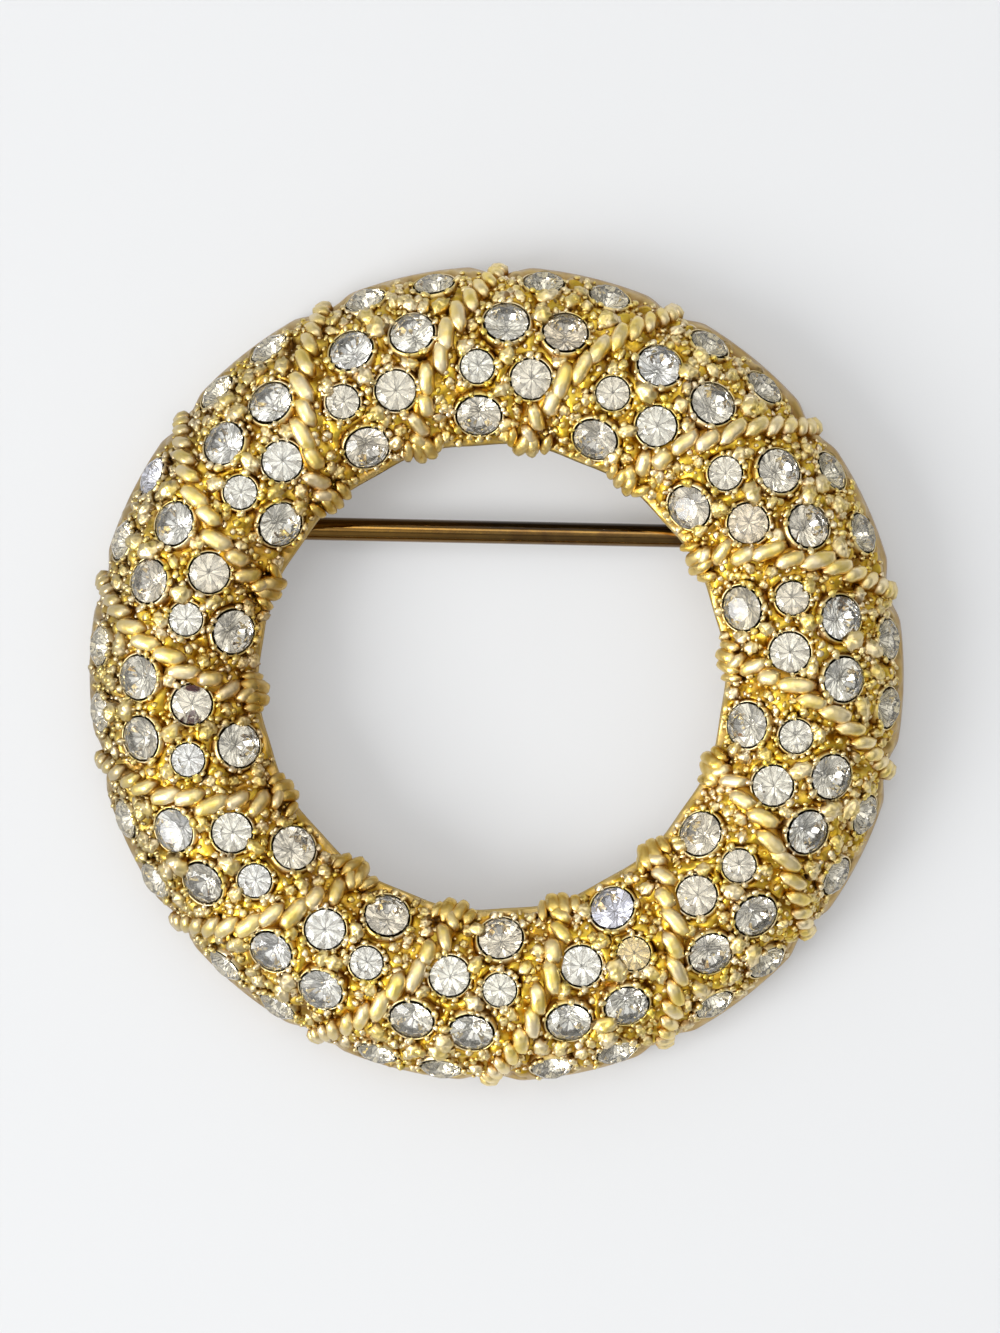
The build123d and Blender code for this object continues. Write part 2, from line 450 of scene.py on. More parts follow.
cast_skin, socket = open_tree(
    "Cast Skin",
    "ShaderNodeTree",
    [("Grain Size", "Float", 5000.0), ("Pit Share", "Float", 0.35)],
    [("Height", "Float")],
)
grain = soft_noise(cast_skin, socket["Grain Size"])
cells = {"Vector": object_place(cast_skin), "Scale": socket["Grain Size"]}
pits = result(cast_skin, "ShaderNodeTexVoronoi", cells, out="Distance")
close_tree(cast_skin, Height=calc(cast_skin, "MULTIPLY_ADD", pits, socket["Pit Share"], grain))
print("groups", worn_sheen.name, "and", cast_skin.name)

# %% [markdown]
# ## The gold finishes
# A maker's function builds every gold finish from the three groups. Each piece has its own values: the ropes
# and beads are rubbed pale, the ground is deeper yellow, and the rim, the lip and the back are duller. How
# much of the deep colour shows comes from an attribute that each mesh carries, high in the recesses of the
# shell and low down on every bead and turn: dirt, together with painted shade where shade falls. The stem has
# no such attribute, and is painted dark along its +Y side: a painted dark reflection.

# %% Make the gold materials
most_dirt_and_shade, skin_grain, skin_strength = 0.9, 3500.0, 0.6
deep_gold = (0.33, 0.145, 0.002)


def use_group(tree, group, **values):
    plugs = {name.replace("_", " "): value for name, value in values.items()}
    return add(tree, "ShaderNodeGroup", plugs, node_tree=group).outputs[0]


def blank_material(name, **values):
    """A new material, and its tree and shader. Further arguments are inputs of the shader."""
    material = bpy.data.materials.new(name)
    material.use_nodes = True
    shader = material.node_tree.nodes["Principled BSDF"]
    for label, value in values.items():
        shader.inputs[label.replace("_", " ")].default_value = value
    return material, material.node_tree, shader


def gold_finish(name, pale, warm, polished, dull, skin_depth, coat=0.0, deep=deep_gold, painted_dark_side=None):
    """A gold material. Its deep colour follows the depth attribute, dirt with painted shade, or darkens the
    +Y side beyond a given line as a painted dark reflection.
    """
    material, tree, shader = blank_material(
        name, Metallic=1.0, Coat_Weight=coat, Coat_Roughness=0.1, Coat_IOR=1.6
    )
    # The deep colour: dirt with painted shade from the depth attribute, or a painted dark reflection on the
    # +Y side
    if painted_dark_side is None:
        depth = calc(tree, "MULTIPLY", stored(tree, "depth"), most_dirt_and_shade)
    else:
        sideways = result(tree, "ShaderNodeSeparateXYZ", {"Vector": object_place(tree)}, out="Y")
        depth = remap(tree, sideways, painted_dark_side[0] * mm, painted_dark_side[1] * mm, 0.0, most_dirt_and_shade)
    colour = use_group(tree, plate_colour, Pale=(*pale, 1), Warm=(*warm, 1), Deep=(*deep, 1), Depth=depth)
    height = use_group(tree, cast_skin, Grain_Size=skin_grain)
    plugs = {"Height": height, "Strength": skin_strength, "Distance": skin_depth * mm}
    tree.links.new(colour, shader.inputs["Base Color"])
    tree.links.new(use_group(tree, worn_sheen, Polished=polished, Dull=dull), shader.inputs["Roughness"])
    tree.links.new(result(tree, "ShaderNodeBump", plugs), shader.inputs["Normal"])
    return material


GoldRows = [
    # name, pale colour, warm colour, roughness where rubbed and where dull, depth of the skin, coat
    ("rope_gold", (0.92, 0.77, 0.48), (0.87, 0.66, 0.16), 0.3, 0.48, 0.05, 0.45),
    ("bead_gold", (0.95, 0.8, 0.53), (0.88, 0.66, 0.09), 0.26, 0.44, 0.03, 0.5),
    ("ground_gold", (0.86, 0.63, 0.07), (0.79, 0.5, 0.02), 0.28, 0.48, 0.05, 0.35),
    ("rim_gold", (0.7, 0.55, 0.29), (0.62, 0.45, 0.15), 0.28, 0.48, 0.05, 0.3),
    ("lip_gold", (0.8, 0.62, 0.25), (0.7, 0.47, 0.07), 0.24, 0.44, 0.05, 0.4),
    ("back_gold", (0.82, 0.66, 0.38), (0.76, 0.55, 0.24), 0.32, 0.5, 0.04),
    ("rivet_bronze", (0.5, 0.34, 0.13), (0.4, 0.25, 0.08), 0.25, 0.4, 0.01),
    # The dark finish inside the seats: dark glue with painted shade in the gap round each stone
    ("dark_joint", (0.34, 0.24, 0.12), (0.16, 0.1, 0.05), 0.35, 0.6, 0.01, 0.0, (0.06, 0.04, 0.02)),
    # The stem: a near-black deep colour, painted over its +Y side beyond the given line as a dark reflection
    ("stem_bronze", (0.16, 0.085, 0.012), (0.1, 0.045, 0.004), 0.05, 0.12, 0.006, 0.35,
     (0.012, 0.006, 0.002), (7.26, 7.33)),
]
gold = {row[0]: gold_finish(*row) for row in GoldRows}
print("gold finishes", list(gold))

# %% [markdown]
# ## The cast shell
# The ring itself is a curved sheet that goes round the section: up the skirt, over the dome, down to the
# inner lip, and back along the hollow underside. It could be a lathe shape with a displace modifier, but the
# surface has to know where the stones and ropes are, so it is built as a grid of rows and columns. Each point
# is lifted by the bay's swell and by rounded pebbles, and pushed deep under every stone, where a seat is set
# in later. The mesh keeps three attributes: how deep a point lies, for the deep colour of dirt and painted
# shade, and where the ground is free enough for grains and roomy enough for lumps.

# %% Lay out the grid, and measure how near every point is to the stones and the ropes
columns = bay_count * 62
outer_steps, inner_steps, back_steps = 44, 25, 16
skirt_heights = np.array([0.0, 0.25, 0.55])
front_turns = np.concatenate([
    np.linspace(90, 0, outer_steps, endpoint=False),
    np.linspace(0, -inner_turn, inner_steps),
])
back_turns = np.linspace(-inner_turn, 90, back_steps)
bearings = np.arange(columns) * 360 / columns
stone_reach = 2.0

turn_grid, bearing_grid = np.meshgrid(front_turns, bearings, indexing="ij")
spots = dome_place(bearing_grid, turn_grid)[0].reshape(-1, 3)
offsets = spots[:, None, :] - stone_spot[None, :, :]
along = np.einsum("psk,sk->ps", offsets, stone_outward)
from_axis = np.sqrt(np.maximum((offsets**2).sum(-1) - along**2, 0))
from_axis[np.abs(along) > stone_reach] += 9
girdle_gap = (from_axis - stones[None, :, 2] / 2).min(1).reshape(turn_grid.shape)
rope_distance = rope_gap(bearing_grid, turn_grid)
print("grid of", turn_grid.shape)

# %% Lift the ground, paint its dirt and shade, and mark it
pebble_size, pebble_height, seam_depth, ground_sink = 0.78, 0.3, 2.2, 0.2
pit_depth, seat_reach, seat_slope = 1.05, 0.24, 0.2
lip_turns, lip_height = (-47.0, -49.5), 0.08
pebbled_turns = (-48.5, -45.5), (76, 82)


def pebbles(spots):
    """Rounded lumps like the ground of a cast: high in the middle of each cell, low along its seams."""
    gaps = np.array([noise.voronoi(Vector(spot) / pebble_size)[0][0] for spot in spots.tolist()])
    return np.clip(1 - seam_depth * gaps**2, -0.6, 1)


def fade(low, high, value):
    return 1 - smooth_step(low, high, value)


relief_share = smooth_step(*pebbled_turns[0], turn_grid) * fade(*pebbled_turns[1], turn_grid)
lump = pebbles(spots).reshape(turn_grid.shape)
lift = swell(bearing_grid, turn_grid) + relief_share * (pebble_height * lump - ground_sink)
lift += smooth_step(*lip_turns, turn_grid) * lip_height
under_stone = fade(seat_reach - seat_slope, seat_reach, girdle_gap)
lift = lift * (1 - under_stone) - pit_depth * under_stone

free = relief_share * smooth_step(0.2, 0.28, girdle_gap) * smooth_step(0.36, 0.46, rope_distance)
free *= fade(71, 76, turn_grid)
roomy = free * smooth_step(0.4, 0.48, girdle_gap) * smooth_step(0.72, 0.84, rope_distance)
roomy *= fade(60, 68, turn_grid)
# The deep colour: dirt with painted shade low between the pebbles and next to the stones, darker towards the
# outer rim and down the inner side
depth = np.clip(0.75 - lump * 0.7 + 0.5 * smooth_step(0.5, 0.1, girdle_gap), 0, 1) * relief_share
depth = np.maximum(depth, 0.7 * smooth_step(76, 84, turn_grid))
depth = np.minimum(depth + 0.25 * smooth_step(-22, -44, turn_grid), 1)
print("free ground", round(float(free.mean()), 3), "roomy", round(float(roomy.mean()), 3))

# %% Close the shell round its back, and give each row its finish
rim_gold_turn, lip_gold_turn, back_depth = 71, -46.5, 0.3
on_ground, on_back, on_rim, on_lip = range(4)
skirt_rows = len(skirt_heights)

front = dome_place(bearing_grid, turn_grid, lift)[0]
skirt = [dome_place(bearings, 90.0, lift[0])[0] * (1, 1, 0) + (0, 0, h) for h in skirt_heights]
back = [dome_place(bearings, turn, -wall)[0] for turn in back_turns]
shell_rows = np.array([*skirt, *front, *back, back[-1] * (1, 1, 0)])
row_count = len(shell_rows)
index = np.arange(row_count * columns).reshape(row_count, columns)
next_row, next_column = np.roll(index, -1, 0), np.roll(index, -1, 1)
shell_faces = np.stack([index, next_row, np.roll(next_row, -1, 1), next_column], -1)


def all_rows(values, elsewhere):
    """What holds for the front's rows, with one value for the skirt and the back."""
    rows = np.full((row_count, columns), float(elsewhere))
    rows[skirt_rows : skirt_rows + len(front_turns)] = values
    return rows.ravel()


shell = new_mesh(
    "cast_shell",
    shell_rows.reshape(-1, 3),
    faces=shell_faces.reshape(-1, 4).tolist(),
    free=all_rows(free, 0),
    roomy=all_rows(roomy, 0),
    depth=all_rows(depth, back_depth),
)
for finish in ("ground_gold", "back_gold", "rim_gold", "lip_gold"):
    shell.data.materials.append(gold[finish])
face_outward(shell.data)
row_finish = np.full(row_count, on_back)
row_finish[:skirt_rows] = on_rim
row_finish[skirt_rows : skirt_rows + len(front_turns)] = np.where(
    front_turns > rim_gold_turn, on_rim, np.where(front_turns < lip_gold_turn, on_lip, on_ground)
)
for face in shell.data.polygons:
    face.material_index = int(row_finish[face.vertices[0] // columns])
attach(shell, "brooch")
print("shell points", row_count * columns)

# %% [markdown]
# ## Setting small shapes on the dome
# Stones, seats, nuggets and the beads round the stones are all the same job: one shape, many places, each
# turned to stand out of the metal. A single Geometry Nodes tree does it. It reads the direction, the spin and
# the size of each place from point attributes, puts the shape there as an instance, makes the instances real
# and gives them their material. Faces marked as foiled take a second material.

# %% The tree that sets shapes
set_shapes, socket = open_tree(
    "Set Shapes",
    "GeometryNodeTree",
    [
        ("Geometry", "Geometry", None),
        ("Shape", "Object", None),
        ("Main Finish", "Material", None),
        ("Second Finish", "Material", None),
        ("Smooth", "Bool", True),
    ],
    [("Geometry", "Geometry")],
)


def spun(tree, rotation, angle):
    """A rotation with a turn about its own Z added."""
    angle = result(tree, "ShaderNodeCombineXYZ", {"Z": angle})
    angle = result(tree, "FunctionNodeEulerToRotation", {"Euler": angle})
    plugs = {"Rotation": rotation, "Rotate By": angle}
    return result(tree, "FunctionNodeRotateRotation", plugs, rotation_space="LOCAL")


def set_finish(tree, geometry, finish, **more):
    plugs = {"Geometry": geometry, "Material": finish, **more}
    return result(tree, "GeometryNodeSetMaterial", plugs)


def real_copies(tree, points, shape, rotation, scale, smooth, finish):
    """One shape set at every point, made real, shaded and given its material."""
    shape = result(tree, "GeometryNodeObjectInfo", {"Object": shape}, out="Geometry")
    plugs = {"Points": points, "Instance": shape, "Rotation": rotation, "Scale": scale}
    made = result(tree, "GeometryNodeInstanceOnPoints", plugs)
    made = result(tree, "GeometryNodeRealizeInstances", {"Geometry": made})
    made = result(tree, "GeometryNodeSetShadeSmooth", {"Geometry": made, "Shade Smooth": smooth})
    return set_finish(tree, made, finish)


facing = result(
    set_shapes,
    "FunctionNodeAxesToRotation",
    {
        "Primary Axis": named(set_shapes, "outward", "FLOAT_VECTOR"),
        "Secondary Axis": named(set_shapes, "across", "FLOAT_VECTOR"),
    },
    primary_axis="Z",
    secondary_axis="X",
)
dressed = real_copies(
    set_shapes,
    result(set_shapes, "GeometryNodeMeshToPoints", {"Mesh": socket["Geometry"]}),
    socket["Shape"],
    spun(set_shapes, facing, named(set_shapes, "spin")),
    named(set_shapes, "size", "FLOAT_VECTOR"),
    socket["Smooth"],
    socket["Main Finish"],
)
foiled = calc(set_shapes, "GREATER_THAN", named(set_shapes, "foiled"), 0.5)
close_tree(
    set_shapes, Geometry=set_finish(set_shapes, dressed, socket["Second Finish"], Selection=foiled)
)
print("tree", set_shapes.name, "has", len(set_shapes.nodes), "nodes")

# %% [markdown]
# ## A cut stone
# The crystals are round brilliants with a pointed back. The front has a flat table, eight small star facets,
# eight kites and sixteen girdle facets. The back has eight long facets and sixteen short ones, and carries a
# silver foil. The foil is what makes a paste stone bright: light goes in through the glass, bounces off the
# foil and comes out again, so the facets of the back show as a star. The shape is made once, for a girdle
# radius of 1, from rings of points that lie where the facets meet in flat planes. Each facet of the back also
# has a point in its middle, which is how the foil knows its ridges from its middles.

# %% Make the stone's shape
table_share, crown_height, star_radius = 0.58, 0.26, 0.77
girdle_depth, pavilion_depth, culet_ring = 0.07, 0.84, 0.24
table, star, upper, lower, low, tip = 0, 8, 16, 32, 48, 56


def ring_points(radius, height, count, start=0.0):
    angles = [2 * math.pi * (k + start) / count for k in range(count)]
    return [(radius * math.cos(a), radius * math.sin(a), height) for a in angles]


def stone_shape():
    """The rings of points start at the numbers above. The faces of the back come last."""
    half_step = math.cos(math.pi / 8)
    star_height = crown_height * (1 - star_radius * half_step) / (1 - table_share)
    low_height = -girdle_depth - pavilion_depth * (1 - culet_ring * half_step)
    points = ring_points(table_share, crown_height, 8)
    points += ring_points(star_radius, star_height, 8, 0.5)
    points += ring_points(1.0, 0.0, 16)
    points += ring_points(1.0, -girdle_depth, 16)
    points += ring_points(culet_ring, low_height, 8, 0.5)
    points += [(0, 0, -girdle_depth - pavilion_depth)]
    faces, back = [tuple(range(8))], []
    for k in range(8):
        after, before = (k + 1) % 8, (k - 1) % 8
        here, mid, then = 2 * k, 2 * k + 1, (2 * k + 2) % 16
        faces += [
            (table + k, star + k, table + after),
            (table + k, star + before, upper + here, star + k),
            (star + k, upper + here, upper + mid),
            (star + k, upper + mid, upper + then),
            (upper + here, lower + here, lower + mid, upper + mid),
            (upper + mid, lower + mid, lower + then, upper + then),
        ]
        back += [
            (low + k, lower + mid, lower + here),
            (low + k, lower + then, lower + mid),
            (tip, low + k, lower + here, low + before),
        ]
    for facet in back:
        faces += [(len(points), *pair) for pair in zip(facet, facet[1:] + facet[:1])]
        points.append(tuple(np.mean([points[corner] for corner in facet], axis=0)))
    return points, faces, [len(facet) for facet in back]


def mark(obj, label, kind, values):
    """Stores a number for each point or each face."""
    obj.data.attributes.new(label, "FLOAT", kind).data.foreach_set("value", [float(v) for v in values])


def template(name, points, faces, dirt_and_shade_below=(-2.0, -1.9), smooth=True):
    """A shape of radius 1 that is only set many times, and removed afterwards. Below a height it takes the
    deep colour, dirt with painted shade on its lower part.
    """
    depth = 1 - smooth_step(*dirt_and_shade_below, np.array(points)[:, 2])
    obj = new_mesh(name, np.array(points) / mm, faces=faces, smooth=smooth, depth=depth)
    face_outward(obj.data)
    return obj


points, faces, fans = stone_shape()
front_faces = len(faces) - sum(fans)
stone_template = template("stone_template", points, faces, smooth=False)
mark(stone_template, "foiled", "FACE", [0] * front_faces + [1] * sum(fans))
on_ridge = [low <= k <= tip or (lower < k < low and k % 2 == 1) for k in range(len(points))]
mark(stone_template, "ridge", "POINT", on_ridge)
# Painted reflections: the facets of the back are darker and lighter in turn, as if mirroring a darker and a
# lighter room
facet_reflection_tones = np.tile([0.6, 1.15, 1.0], 8) * dice.uniform(0.85, 1.1, len(fans))
facet_reflection_tones = np.repeat(np.clip(facet_reflection_tones, 0, 1), fans)
mark(stone_template, "tone", "FACE", [1.0] * front_faces + list(facet_reflection_tones))
print("facets", len(faces))

# %% [markdown]
# ## Crystal and foil
# The front is clear glass, and the back has the look of silver foil seen through it. A few stones differ on
# the real brooch: one has a yellowed foil, the outer ones are straw coloured, and two catch a bluish light.
# Each stone carries a number, and the foil turns it into its tint. The foil is darkened along the ridges of
# the back, painted dark reflections that draw the thin dark spokes every stone shows, and each facet has its
# own tone, darker and lighter in turn: painted reflections of a darker and a lighter room. One stone at the
# left has a small dark garnet chip at its edge, so the foil turns dark around that place.

# %% The materials of the stones
FoilTints = [
    # number, colour
    (0.4, (0.96, 0.94, 0.86, 1)),
    (0.7, (0.92, 0.87, 0.76, 1)),
    (0.9, (0.93, 0.86, 0.66, 1)),
    (0.95, (0.94, 0.82, 0.55, 1)),
    (1.0, (0.91, 0.91, 0.97, 1)),
]
plain_foil, painted_spoke_colour, facet_shade = (0.96, 0.96, 0.94, 1), (0.14, 0.12, 0.09, 1), (0.44, 0.41, 0.36, 1)
painted_spoke_darkness = 0.62
garnet, chip_stone, chip_shift = (0.07, 0.008, 0.012, 1), (10, 5), (0.0, 0.85, -0.3)
chip_inner, chip_outer = 0.34 * mm, 0.44 * mm


def stone_number(bay, row):
    return bay * len(StoneRows) + row


crystal, _, _ = blank_material(
    "crystal", Base_Color=(1.0, 1.0, 1.0, 1), Roughness=0.0, IOR=1.56, Transmission_Weight=1.0
)
foil, tree, shader = blank_material("foil", Metallic=0.8)
ramp = add(tree, "ShaderNodeValToRGB", {"Fac": stored(tree, "tint")})
tints = ramp.color_ramp.elements
tints.remove(tints[1])
tints[0].color = plain_foil
for position, colour in FoilTints:
    tints.new(position).color = colour
# Painted dark reflections: the foil darkens along the ridges of the back, drawing the thin dark spokes
ridge = remap(tree, stored(tree, "ridge"), 0.75, 1.0, 0.0, painted_spoke_darkness, "SMOOTHSTEP")
silver = blend(tree, ridge, ramp.outputs["Color"], painted_spoke_colour)
silver = blend(tree, stored(tree, "tone"), facet_shade, silver)
chip_place = (stone_spot[stone_number(*chip_stone)] + chip_shift) * mm
chip = calc_vector(tree, "DISTANCE", object_place(tree), tuple(chip_place))
silver = blend(tree, remap(tree, chip, chip_inner, chip_outer, 1.0, 0.0), silver, garnet)
tree.links.new(silver, shader.inputs["Base Color"])
tree.links.new(use_group(tree, worn_sheen, Polished=0.03, Dull=0.08), shader.inputs["Roughness"])
print("materials", crystal.name, "and", foil.name)

# %% Set the stones
OddStones = [
    # bay, row, tint: one yellow, two bluish, two warm
    (6, 4, 0.95),
    (6, 6, 1.0),
    (11, 1, 1.0),
    (2, 5, 0.97),
    (0, 3, 0.97),
]
outer_rows, inner_row = 2, 6
girdle_share, most_rock = 0.475, 0.045

tint = dice.beta(1.6, 2.2, len(stones)) * 0.9
tint = np.where(stones[:, 3] < outer_rows, 0.8 + 0.12 * tint, tint)
tint = np.where(stones[:, 3] == inner_row, 0.4 + 0.5 * tint, tint)
for bay, row, own_tint in OddStones:
    tint[stone_number(bay, row)] = own_tint
spin = dice.uniform(0, 2 * math.pi, len(stones))
rock = dice.normal(0, most_rock, (len(stones), 2))
stone_facing = stone_outward + stone_across * rock[:, :1]
stone_facing += np.cross(stone_outward, stone_across) * rock[:, 1:]
stone_facing /= np.linalg.norm(stone_facing, axis=1)[:, None]


def set_on_dome(name, shape, spots, outward, across, size, spin, finish, second=None, smooth=True, **more):
    """Sets a template at many places. Sizes are in millimetres, one number or three for each place."""
    sizes = np.broadcast_to(np.asarray(size, float).T, (3, len(spots))).T
    obj = new_mesh(name, spots, outward=outward, across=across, spin=spin, size=sizes * mm, **more)
    return grow(
        obj, set_shapes, shape=shape, main_finish=finish, second_finish=second or finish, smooth=smooth
    )


crystals = set_on_dome(
    "foiled_crystals", stone_template, stone_spot, stone_facing, stone_across, girdle_share * stones[:, 2],
    spin, crystal, foil, smooth=False, tint=tint,
)
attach(crystals, "brooch")
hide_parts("crystals")

# %% [markdown]
# ## The seats
# Every stone sits in a cup with a thin lip. The cup could be cut out of the shell with a boolean, but a
# turned ring set over a rough pit gives a much cleaner edge for few faces. Its profile runs from the foot of
# the lip, over its rounded top, down the wall and the cone to the middle, and closes underneath.

# %% Turn the seat's profile and set one under each stone
SeatProfile = [
    # distance from the axis, height, for a stone of radius 1
    (1.15, -0.95),
    (1.2, -0.4),
    (1.14, -0.16),
    (1.09, -0.06),
    (1.055, -0.04),
    (1.03, -0.07),
    (1.01, -0.16),
    (0.9, -0.25),
    (0.45, -0.68),
    (0.12, -0.97),
]


seat_sides, inside_lip = 28, 1.035


def turned(profile, sides):
    """A closed solid of revolution from a profile that starts and ends off the axis."""
    points, faces = [], []
    for distance, height in profile:
        points += ring_points(distance, height, sides)
    last = len(points) - sides
    for first in range(0, last, sides):
        for k in range(sides):
            a, b = first + k, first + (k + 1) % sides
            faces.append((a, b, b + sides, a + sides))
    return points, [*faces, tuple(range(sides)), tuple(range(last, last + sides))]


points, faces = turned(SeatProfile, seat_sides)
seat_template = template("seat_template", points, faces, dirt_and_shade_below=(-0.3, -0.03))
face_reach = [np.mean([math.hypot(*points[v][:2]) for v in face]) for face in faces]
# The faces inside the lip take the dark finish: dark glue with painted shade in the gap round the stone
mark(seat_template, "foiled", "FACE", [reach < inside_lip for reach in face_reach])
seats = set_on_dome(
    "stone_seats", seat_template, stone_spot, stone_outward, stone_across, stones[:, 2] / 2, spin,
    gold["rope_gold"], gold["dark_joint"],
)
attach(seats, "brooch")

# %% [markdown]
# ## The twisted ropes
# Each rope of the real ring is a row of plump oval turns, each lying at a slant, with dark gaps between them.
# They are long and wide apart on the crest, and short and steep towards both edges. Strands that wind round
# a path would be the obvious way, but in a cast the turns have no underside, and winding tubes leave open
# loops. So one turn is modelled as an oval bar, and set along the rope over a low core that closes the gaps.
# The noise that dents it takes its offset from the clock unless it is given a seed, so it gets one, and every
# run makes the same turn.

# %% Make one turn of a rope
turn_dents, dent_size, dent_seed, squareness = 0.16, 1.6, 14, 0.8


def capped(first, rings, last):
    """A closed form from a point, rings of points and a last point."""
    sides = len(rings[0])
    points = [first, *(point for ring in rings for point in ring), last]
    faces, end = [], len(points) - 1
    for k in range(sides):
        after = (k + 1) % sides
        faces.append((0, 1 + after, 1 + k))
        faces.append((end, end - sides + k, end - sides + after))
        for a in range(1, end - sides, sides):
            faces.append((a + k, a + after, a + sides + after, a + sides + k))
    return points, faces


def turn_shape(sides, rings, fullness, bow):
    """An oval bar along X, half a length to each side, with a flattened top, a slight S and shallow dents."""
    hoops = []
    for row in range(1, rings):
        x = math.cos(math.pi * row / rings)
        girth = (1 - abs(x) ** fullness) ** 0.5
        shift = bow * math.sin(math.pi / 2 * x)
        flat = [[math.copysign(abs(v) ** squareness, v) * girth for v in p] for p in ring_points(1, 0, sides)]
        hoops.append([(x, y - shift, z) for y, z, _ in flat])
    points, faces = capped((1, -bow, 0), hoops, (-1, bow, 0))
    noise.seed_set(dent_seed)
    dents = [noise.noise_vector(Vector(p) * dent_size) for p in points]
    return [tuple(Vector(p) + turn_dents * dent) for p, dent in zip(points, dents)], faces


turn_template = template("turn_template", *turn_shape(14, 12, 2.6, 0.15), dirt_and_shade_below=(0.0, 0.72))

# %% Set the turns along the fourteen ropes
rope_start_turn, rope_stop_turn = 85.0, -44.0
pitch_at_edges, pitch_on_crest = 0.79, 0.39
most_aside, clearance, tries, shortening = 0.3, 0.1, 3, 0.4
path_turns = np.linspace(rope_start_turn, rope_stop_turn, 90)
near_crest = (1 - smooth_step(15, 70, path_turns)) * smooth_step(-45, -15, path_turns)
inner_end = smooth_step(-36, -46, path_turns)
path_lift = 0.26 * smooth_step(-30, -48, path_turns) - valley
path_spots, _, _ = dome_place(rope_bearing(path_turns), path_turns, path_lift)
path_length = np.append(0, np.cumsum(np.linalg.norm(np.diff(path_spots, axis=0), axis=1)))
turn_pitch = pitch_at_edges + pitch_on_crest * near_crest
turns_passed = np.append(0, np.cumsum(np.diff(path_length) / turn_pitch[1:]))
turn_count = round(turns_passed[-1])
stations = np.interp(np.arange(turn_count) + 0.5, turns_passed * turn_count / turns_passed[-1], path_turns)
station_turn = np.tile(stations, bay_count) + dice.normal(0, 0.5, bay_count * turn_count)
station_bay = np.repeat(np.arange(bay_count) * bay_pitch, turn_count)
crest_here, end_here, lift_here = (
    np.interp(-station_turn, -path_turns, values) for values in (near_crest, inner_end, path_lift)
)
spots, outward_here, _ = dome_place(station_bay + rope_bearing(station_turn), station_turn, lift_here)
ahead, _, _ = dome_place(station_bay + rope_bearing(station_turn - 1), station_turn - 1, lift_here)
along_here = (ahead - spots) / np.linalg.norm(ahead - spots, axis=1)[:, None]
turn_size = np.stack([
    0.57 + 0.4 * crest_here + 0.1 * end_here,
    0.32 + 0.1 * crest_here,
    0.44 + 0.08 * crest_here,
], -1)
turn_size *= dice.uniform(0.93, 1.07, turn_size.shape)
turn_lean = np.radians(60 - 26 * crest_here - 20 * end_here) + dice.normal(0, 0.06, len(station_turn))

# A turn that would reach over a stone is moved aside a little, and shortened by what still reaches over
way = np.cross(outward_here, along_here)
long_way = along_here * np.cos(turn_lean)[:, None] + way * np.sin(turn_lean)[:, None]
for _ in range(tries):
    to_stone = stone_spot[None] - spots[:, None]
    nearest = (np.linalg.norm(to_stone, axis=2) - stones[None, :, 2] / 2).argmin(1)
    toward_stone = stone_spot[nearest] - spots
    distance = np.linalg.norm(toward_stone, axis=1)
    toward_stone /= distance[:, None]
    part = np.abs((toward_stone * long_way).sum(1))
    reach = np.hypot(turn_size[:, 0] * part, turn_size[:, 1] * np.sqrt(np.maximum(1 - part**2, 0)))
    over = np.maximum(reach + clearance + stones[nearest, 2] / 2 - distance, 0)
    aside = np.minimum(over, most_aside / tries)
    spots = spots - toward_stone * aside[:, None]
    turn_size[:, 0] -= (over - aside) * part * shortening
turn_size[:, 0] = np.maximum(turn_size[:, 0], 1.1 * turn_size[:, 1])
ropes = set_on_dome(
    "rope_ridges", turn_template, spots, outward_here, along_here, turn_size, turn_lean, gold["rope_gold"]
)
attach(ropes, "brooch")

# %% The tree that lays a core
lay_core, socket = open_tree(
    "Lay Core",
    "GeometryNodeTree",
    [
        ("Geometry", "Geometry", None),
        ("Core Radius", "Float", 0.0004),
        ("Finish", "Material", None),
    ],
    [("Geometry", "Geometry")],
)
path = result(lay_core, "GeometryNodeMeshToCurve", {"Mesh": socket["Geometry"]})
profile = result(lay_core, "GeometryNodeCurvePrimitiveCircle", {"Resolution": 8, "Radius": 1.0})
core = result(
    lay_core,
    "GeometryNodeCurveToMesh",
    {"Curve": path, "Profile Curve": profile, "Scale": socket["Core Radius"], "Fill Caps": True},
)
core = result(lay_core, "GeometryNodeSetShadeSmooth", {"Geometry": core})
close_tree(lay_core, Geometry=set_finish(lay_core, core, socket["Finish"]))

# %% Lay a core under each rope
core_drop, core_radius = 0.22, 0.4
core_bearings = (np.arange(bay_count) * bay_pitch)[:, None] + rope_bearing(path_turns)
core_points = dome_place(core_bearings, path_turns, path_lift - core_drop)[0].reshape(-1, 3)
core_edges = [(k, k + 1) for k in range(len(core_points) - 1) if (k + 1) % len(path_turns)]
# The core takes the deep colour all over: dirt with painted shade in the gaps between the turns
cores = new_mesh("rope_cores", core_points, edges=core_edges, depth=np.ones(len(core_points)))
grow(cores, lay_core, core_radius=core_radius * mm, finish=gold["ground_gold"])
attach(cores, "brooch")

# %% [markdown]
# ## Nuggets and beads
# Between the stones stand larger cast nuggets, and small beads crowd the edge of each stone, where the setter
# pushed metal over it. Both are one lumpy bead, set many times with its own size, stretch and spin.

